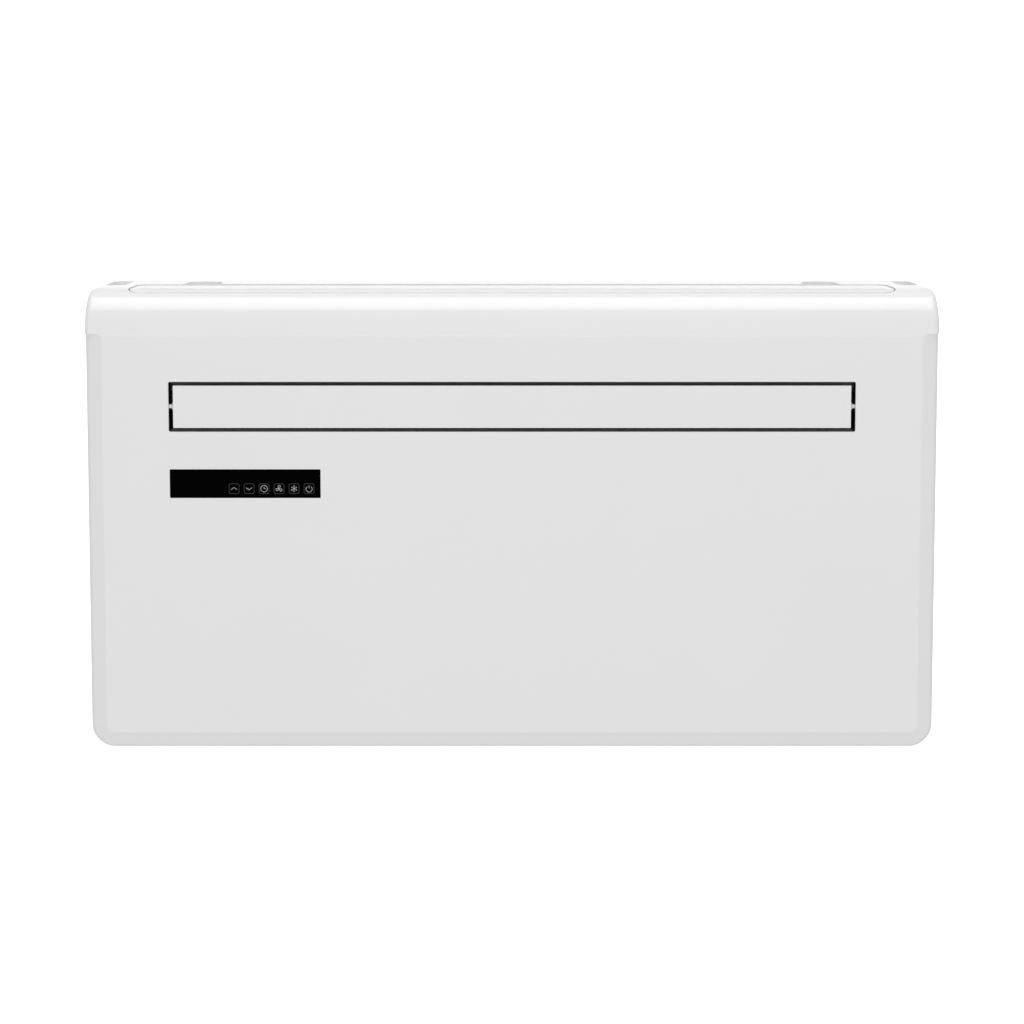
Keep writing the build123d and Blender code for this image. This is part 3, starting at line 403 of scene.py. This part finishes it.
THREAD, THREAD_PITCH = 0.35 * MM, 1.6 * MM
for side in ("left", "right"):
    low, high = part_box(f"filter_net_{side}")
    y = (low.y + high.y) / 2
    verts, faces = [], []
    for i in range(1, int((high.x - low.x) / THREAD_PITCH)):
        x = low.x + i * THREAD_PITCH
        add_box((x, y - THREAD, low.z), (x + THREAD, y, high.z), verts, faces)
    for i in range(1, int((high.z - low.z) / THREAD_PITCH)):
        z = low.z + i * THREAD_PITCH
        add_box((low.x, y, z), (high.x, y + THREAD, z + THREAD), verts, faces)
    net = piece(f"woven_net_{side}", verts, faces, nylon, f"filter_{side}")
    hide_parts(f"filter_net_{side}")


# ---------------------------------------------------------------- control box lid ribs
# Stiffening ribs of grey ABS, moulded across the flat lid between its four screws.
RIB_INSET, RIB_T, RIB_H, RIB_COUNT = 30 * MM, 2.4 * MM, 1.4 * MM, 7
RIB_ROOT = 0.1 * MM  # how far each rib reaches into the lid
low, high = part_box("control_box_lid")
rib_step = (high.z - low.z - 2 * RIB_INSET) / (RIB_COUNT - 1)
verts, faces = [], []
for i in range(RIB_COUNT):
    z = low.z + RIB_INSET + i * rib_step
    near = (low.x + RIB_INSET, low.y - RIB_H, z - RIB_T / 2)
    far = (high.x - RIB_INSET, low.y + RIB_ROOT, z + RIB_T / 2)
    add_box(near, far, verts, faces)
piece("lid_ribs", verts, faces, grey_abs, "chassis")


# ---------------------------------------------------------------- chassis sheet
# Back plate, base pan, side plates, bulkhead, wall bracket, exhaust plenum and brackets: 1.2 mm
# hot-dip galvanised steel, cut and folded.
# galvanised_sheet: grey metal, faint frosty crystals about 7 mm across. Metallic 1, roughness 0.35 to 0.5.
galvanised, tree, shader = finish("galvanised_sheet")
place = put(tree, "TexCoord")
warp = put(tree, "TexNoise", None, Vector=place.outputs["Object"], Scale=90.0, Detail=2.0)
bend = put(tree, "VectorMath", {"operation": "SCALE"}, i0=warp.outputs["Color"], Scale=0.006)
shifted = put(tree, "VectorMath", None, i0=place.outputs["Object"], i1=bend.outputs[0])
spangle = put(tree, "TexVoronoi", None, Vector=shifted.outputs[0], Scale=145.0)
level = put(tree, "SeparateColor", None, Color=spangle.outputs["Color"])
tint = put(tree, "Mix", {"data_type": "RGBA"}, i0=level.outputs[0], i6=linear("#B0B4B6"),
           i7=linear("#C2C6C7"))
tree.links.new(tint.outputs[2], shader.inputs["Base Color"])
frost = put(tree, "MapRange", None, Value=level.outputs[1], To_Min=0.35, To_Max=0.50)
tree.links.new(frost.outputs[0], shader.inputs["Roughness"])
tilt = put(tree, "Bump", None, Height=level.outputs[2], Strength=0.05, Distance=0.0002)
tree.links.new(tilt.outputs[0], shader.inputs["Normal"])
shader.inputs["Metallic"].default_value = 1
dress(galvanised, "back_plate", "base_pan", "side_plate_left", "side_plate_right", "bulkhead", "wall_bracket",
      "exhaust_plenum", "blower_bracket", "evaporator_end_plates")


# ---------------------------------------------------------------- coils
# Evaporator and condenser: copper tube pushed through stacks of thin aluminium fins. Every fin is a
# plate of its own, 1.8 mm from the next.
# fin_aluminium: bright thin sheet, slightly brushed by the press. Metallic 1, roughness 0.3 to 0.42.
fin_metal, tree, shader = finish("fin_aluminium")
place = put(tree, "TexCoord")
drawn = put(tree, "TexNoise", None, Vector=place.outputs["Object"], Scale=300.0, Detail=4.0)
tint = put(tree, "Mix", {"data_type": "RGBA"}, i0=drawn.outputs[0], i6=linear("#C4C8CB"),
           i7=linear("#DCDFE1"))
tree.links.new(tint.outputs[2], shader.inputs["Base Color"])
brushed = put(tree, "MapRange", None, Value=drawn.outputs[0], To_Min=0.30, To_Max=0.42)
tree.links.new(brushed.outputs[0], shader.inputs["Roughness"])
shader.inputs["Metallic"].default_value = 1

FIN_PITCH, FIN_T = 1.8 * MM, 0.16 * MM


def fin_pack(name, outline, step, count, body, node):
    """A stack of equal plates: outline is a closed ring of points, step leads to the next plate."""
    step = Vector(step)
    thick = step.normalized() * FIN_T
    ring = len(outline)
    verts, faces = [], []
    for i in range(count):
        n = len(verts)
        base = [Vector(p) + step * i for p in outline]
        verts += base + [p + thick for p in base]
        faces.append(tuple(range(n, n + ring)))
        faces.append(tuple(range(n + 2 * ring - 1, n + ring - 1, -1)))
        for k in range(ring):
            after = (k + 1) % ring
            faces.append((n + k, n + after, n + ring + after, n + ring + k))
    pack = piece(name, verts, faces, fin_metal, body)
    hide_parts(node)


low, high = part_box("evaporator_fins")
lean_y, lean_z, slab = 31 * MM, 98 * MM, 24 * MM  # the slab's lean and thickness
length = (lean_y**2 + lean_z**2) ** 0.5
wide_y, drop_z = slab * lean_z / length, slab * lean_y / length
leaning = [
    (low.x, low.y, low.z + drop_z), (low.x, low.y + wide_y, low.z),
    (low.x, high.y, high.z - drop_z), (low.x, high.y - wide_y, high.z),
]
fin_pack("evaporator_fin_pack", leaning, (FIN_PITCH, 0, 0), int((high.x - low.x) / FIN_PITCH), "chassis",
         "evaporator_fins")
low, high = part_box("condenser_fins")
upright = [(low.x, low.y, low.z), (high.x, low.y, low.z), (high.x, high.y, low.z), (low.x, high.y, low.z)]
fin_pack("condenser_fin_pack", upright, (0, 0, FIN_PITCH), int((high.z - low.z) / FIN_PITCH), "chassis",
         "condenser_fins")


# ---------------------------------------------------------------- copper pipes
# Coil tubes, suction, discharge and liquid lines: drawn copper, dulled by handling, with silver-brazed
# joints. The suction line carries a slit sleeve of black closed-cell foam.
# drawn_copper: warm metal with brown stains. Metallic 1, roughness 0.22 to 0.45.
copper, tree, shader = finish("drawn_copper")
place = put(tree, "TexCoord")
stain = put(tree, "TexNoise", None, Vector=place.outputs["Object"], Scale=45.0, Detail=5.0)
tint = put(tree, "Mix", {"data_type": "RGBA"}, i0=stain.outputs[0], i6=linear("#8E5A3C"),
           i7=linear("#D08E68"))
tree.links.new(tint.outputs[2], shader.inputs["Base Color"])
tarnish = put(tree, "MapRange", None, Value=stain.outputs[0], To_Min=0.45, To_Max=0.22)
tree.links.new(tarnish.outputs[0], shader.inputs["Roughness"])
shader.inputs["Metallic"].default_value = 1
dress(copper, "evaporator_tubes", "condenser_tubes", "suction_pipe", "discharge_pipe", "liquid_pipe",
      "compressor_inlet", "filter_dryer")

# silver_braze: dull pale bead of filler metal. Metallic 1, roughness 0.4 to 0.6.
braze, tree, shader = finish("silver_braze")
place = put(tree, "TexCoord")
blot = put(tree, "TexNoise", None, Vector=place.outputs["Object"], Scale=500.0, Detail=3.0)
tint = put(tree, "Mix", {"data_type": "RGBA"}, i0=blot.outputs[0], i6=linear("#8A8478"), i7=linear("#C2BDB2"))
tree.links.new(tint.outputs[2], shader.inputs["Base Color"])
crust = put(tree, "MapRange", None, Value=blot.outputs[0], To_Min=0.40, To_Max=0.60)
tree.links.new(crust.outputs[0], shader.inputs["Roughness"])
shader.inputs["Metallic"].default_value = 1


def bead(middle, axis, radius, thick, verts, faces, around=40, cross=8):
    """Adds a ring of round section, such as a weld or brazed bead, to a mesh's lists."""
    turn = Vector((0, 0, 1)).rotation_difference(Vector(axis))
    n = len(verts)
    for i in range(around):
        a = 2 * pi * i / around
        for k in range(cross):
            b = 2 * pi * k / cross
            r = radius + thick * cos(b)
            verts.append(Vector(middle) + turn @ Vector((r * cos(a), r * sin(a), thick * sin(b))))
    for i in range(around):
        for k in range(cross):
            here, after = n + i * cross, n + (i + 1) % around * cross
            faces.append((here + k, after + k, after + (k + 1) % cross, here + (k + 1) % cross))


SUCTION_R, DISCHARGE_R, LIQUID_R, BEAD_T, THIN_BEAD_T = 0.0058, 0.0051, 0.0034, 0.0016, 0.0012
comp_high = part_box("compressor")[1]
comp_x, comp_y = -0.405, -0.098  # the can's axis
acc_low, acc_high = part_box("accumulator")
acc_x, acc_y = (acc_low.x + acc_high.x) / 2, (acc_low.y + acc_high.y) / 2
dry_low, dry_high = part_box("filter_dryer")
dry_x, dry_y = (dry_low.x + dry_high.x) / 2, (dry_low.y + dry_high.y) / 2
verts, faces = [], []
bead((acc_x, acc_y, acc_high.z + 0.0006), (0, 0, 1), SUCTION_R, BEAD_T, verts, faces)
bead((acc_x, acc_y, acc_low.z - 0.0006), (0, 0, 1), SUCTION_R, BEAD_T, verts, faces)
bead((comp_x, comp_y, comp_high.z + 0.0004), (0, 0, 1), DISCHARGE_R, BEAD_T, verts, faces)
bead((dry_x, dry_y, dry_high.z + 0.0004), (0, 0, 1), LIQUID_R, THIN_BEAD_T, verts, faces)
piece("brazed_joints", verts, faces, braze, "chassis", smooth=True)

# closed_cell_foam: soft matt black with open specks. IOR 1.5, not metallic, roughness 0.95.
foam, tree, shader = finish("closed_cell_foam")
place = put(tree, "TexCoord")
cells = put(tree, "TexVoronoi", None, Vector=place.outputs["Object"], Scale=900.0)
bump = put(tree, "Bump", None, Height=cells.outputs["Distance"], Strength=0.5, Distance=0.0004)
tree.links.new(bump.outputs[0], shader.inputs["Normal"])
tint = put(tree, "Mix", {"data_type": "RGBA"}, i0=cells.outputs["Distance"], i6=linear("#232323"),
           i7=linear("#3A3A3A"))
tree.links.new(tint.outputs[2], shader.inputs["Base Color"])
shader.inputs["Roughness"].default_value = 0.95
dress(foam, "duct_gaskets")


def sleeve(name, points, bend, radius, material):
    """A round sleeve along straight runs; each corner is eased by points at the bend's two ends."""
    line = [Vector(points[0])]
    for before, here, after in zip(points, points[1:], points[2:]):
        here = Vector(here)
        back_to, on_to = (Vector(before) - here).normalized(), (Vector(after) - here).normalized()
        line += [here + back_to * bend, here, here + on_to * bend]
    line.append(Vector(points[-1]))
    data = bpy.data.curves.new(name, "CURVE")
    data.dimensions, data.bevel_depth, data.bevel_resolution, data.use_fill_caps = "3D", radius, 6, True
    spline = data.splines.new("NURBS")
    spline.points.add(len(line) - 1)
    for point, place_now in zip(spline.points, line):
        point.co = (*place_now, 1)
    spline.order_u, spline.use_endpoint_u = 3, True
    data.materials.append(material)
    obj = bpy.data.objects.new(name, data)
    bpy.context.scene.collection.objects.link(obj)
    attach(obj, "chassis")


SLEEVE_START, SLEEVE_RUN, SLEEVE_END = 0.213, 0.262, 0.283  # heights from the pan's underside
SLEEVE_SIDE, SLEEVE_Y, SLEEVE_BEND, SLEEVE_R = 0.020, -0.030, 0.012, 0.010
suction_run = [
    (acc_x, acc_y, under + SLEEVE_START), (acc_x, acc_y, under + SLEEVE_RUN),
    (acc_x + SLEEVE_SIDE, SLEEVE_Y, under + SLEEVE_RUN), (acc_x + SLEEVE_SIDE, SLEEVE_Y, under + SLEEVE_END),
]
sleeve("suction_foam_sleeve", suction_run, SLEEVE_BEND, SLEEVE_R, foam)


# ---------------------------------------------------------------- compressor and accumulator
# Deep-drawn steel cans, each closed by two weld seams round its girth and dipped in black enamel that is
# baked on.
# baked_black_enamel: glossy black over steel with slight runs. IOR 1.5, not metallic, roughness 0.2 to 0.35.
enamel, tree, shader = finish("baked_black_enamel")
place = put(tree, "TexCoord")
runs = put(tree, "TexNoise", None, Vector=place.outputs["Object"], Scale=60.0, Detail=2.0)
bump = put(tree, "Bump", None, Height=runs.outputs[0], Strength=0.12, Distance=0.001)
tree.links.new(bump.outputs[0], shader.inputs["Normal"])
gloss = put(tree, "MapRange", None, Value=runs.outputs[0], To_Min=0.20, To_Max=0.35)
tree.links.new(gloss.outputs[0], shader.inputs["Roughness"])
shader.inputs["Base Color"].default_value = linear("#121214")
shader.inputs["Coat Weight"].default_value = 0.4
shader.inputs["Coat Roughness"].default_value = 0.1
dress(enamel, "compressor", "accumulator")
COMPRESSOR_R, COMPRESSOR_SEAMS = 0.054, (0.044, 0.198)  # radius and heights from the pan's underside
ACCUMULATOR_R, ACCUMULATOR_SEAMS = 0.024, (0.176, 0.092)
verts, faces = [], []
for height in COMPRESSOR_SEAMS:
    bead((comp_x, comp_y, under + height), (0, 0, 1), COMPRESSOR_R, BEAD_T, verts, faces, around=96)
for height in ACCUMULATOR_SEAMS:
    bead((acc_x, acc_y, under + height), (0, 0, 1), ACCUMULATOR_R, THIN_BEAD_T, verts, faces, around=64)
piece("can_weld_seams", verts, faces, enamel, "chassis", smooth=True)

# moulded_rubber: matt black, slightly dusty. IOR 1.52, not metallic, roughness 0.8 to 0.9.
rubber, tree, shader = finish("moulded_rubber")
place = put(tree, "TexCoord")
dust = put(tree, "TexNoise", None, Vector=place.outputs["Object"], Scale=200.0, Detail=4.0)
tint = put(tree, "Mix", {"data_type": "RGBA"}, i0=dust.outputs[0], i6=linear("#171717"), i7=linear("#2B2B2A"))
tree.links.new(tint.outputs[2], shader.inputs["Base Color"])
worn = put(tree, "MapRange", None, Value=dust.outputs[0], To_Min=0.80, To_Max=0.90)
tree.links.new(worn.outputs[0], shader.inputs["Roughness"])
dress(rubber, "compressor_grommets", "fan_bearing")


# ---------------------------------------------------------------- zinc-plated parts and screws
# Shafts, bolts, motor cans and the capacitor: steel with a bright blue-white zinc plating. The sheet
# parts are held by hex washer-head screws, 7 mm across the flats.
# zinc_plating: soft bright metal with fine drawing lines. Metallic 1, roughness 0.25 to 0.38.
zinc, tree, shader = finish("zinc_plating")
place = put(tree, "TexCoord")
lines = put(tree, "Mapping", None, Vector=place.outputs["Object"], Scale=(40, 900, 900))
drawn = put(tree, "TexNoise", None, Vector=lines.outputs[0], Scale=1.0, Detail=4.0)
tint = put(tree, "Mix", {"data_type": "RGBA"}, i0=drawn.outputs[0], i6=linear("#AEB2B4"),
           i7=linear("#CDD0D2"))
tree.links.new(tint.outputs[2], shader.inputs["Base Color"])
gloss = put(tree, "MapRange", None, Value=drawn.outputs[0], To_Min=0.25, To_Max=0.38)
tree.links.new(gloss.outputs[0], shader.inputs["Roughness"])
shader.inputs["Metallic"].default_value = 1
dress(zinc, "fan_shafts", "blower_shaft", "compressor_bolts", "fan_motor", "blower_motor", "flap_motor",
      "run_capacitor")

HEX_ACROSS, FLANGE_R, HEAD_H, AROUND = 7.0 * MM, 5.2 * MM, 3.6 * MM, 24


def hex_screws(name, body, spots, normal, size=1.0):
    """Hex washer-head screws on a face; spots lie on the face and normal points out of it."""
    turn = Vector((0, 0, 1)).rotation_difference(Vector(normal))
    verts, faces = [], []
    angles = [2 * pi * k / AROUND for k in range(AROUND)]
    hexagon = [HEX_ACROSS / 2 / cos((a % (pi / 3)) - pi / 6) for a in angles]
    rings = [
        ([FLANGE_R] * AROUND, -0.2 * MM), ([FLANGE_R] * AROUND, 0.5 * MM),
        ([FLANGE_R * 0.93] * AROUND, 0.9 * MM), (hexagon, 0.9 * MM),
        (hexagon, HEAD_H - 0.4 * MM), ([r * 0.9 for r in hexagon], HEAD_H),
    ]
    for spot in spots:
        n = len(verts)
        for radii, height in rings:
            for r, a in zip(radii, angles):
                verts.append(Vector(spot) + turn @ (Vector((r * cos(a), r * sin(a), height)) * size))
        for ring in range(len(rings) - 1):
            for k in range(AROUND):
                here, after = n + ring * AROUND + k, n + ring * AROUND + (k + 1) % AROUND
                faces.append((here, after, after + AROUND, here + AROUND))
        faces.append(tuple(range(n + (len(rings) - 1) * AROUND, n + len(rings) * AROUND)))
    piece(name, verts, faces, zinc, body)


def heads(face_y, across, heights):
    """Spots for screws on an upright face, in metres, from millimetres; heights from the pan's underside."""
    return [(x * MM, face_y * MM, under + z * MM) for x in across for z in heights]


FRONT, BACK = (0, -1, 0), (0, 1, 0)
# The faces that the heads lie on, and the heads' places along the bulkhead and the pan.
LID_Y, PANEL_Y, PLENUM_Y, FLANGE_Y, PAN_Y, PLATE_Y = -174.3, -178, -174, -176, -185.5, -10.8
CHASSIS_ROW = (-440, -150, 150, 440)
hex_screws("lid_screws", "chassis", heads(LID_Y, (292, 476), (116, 274)), FRONT, 0.7)
hex_screws("intake_panel_screws", "chassis", heads(PANEL_Y, (-410, -205, 0, 205, 410), (459, 527)), FRONT)
hex_screws("plenum_screws", "chassis", heads(PLENUM_Y, (-252, -160, -68), (38, 274)), FRONT, 0.8)
hex_screws("bracket_screws", "chassis", heads(FLANGE_Y, (62, 231), (150,)), FRONT)
side_spots = heads(PANEL_Y, (-483.5, 483.5), (60, 180, 320, 430, 520))
hex_screws("side_flange_screws", "chassis", side_spots, FRONT, 0.8)
hex_screws("bulkhead_screws", "chassis", heads(FLANGE_Y, CHASSIS_ROW, (284,)), FRONT, 0.8)
hex_screws("pan_screws", "chassis", heads(PAN_Y, CHASSIS_ROW, (14,)), FRONT, 0.8)
plate_spots = heads(PLATE_Y, (-496, 496), (60, 180, 300, 400, 515))
plate_spots += heads(PLATE_Y, (-420, -140, 140), (22,)) + heads(PLATE_Y, (-400, -130, 130, 400), (291,))
hex_screws("back_plate_screws", "chassis", plate_spots, BACK)
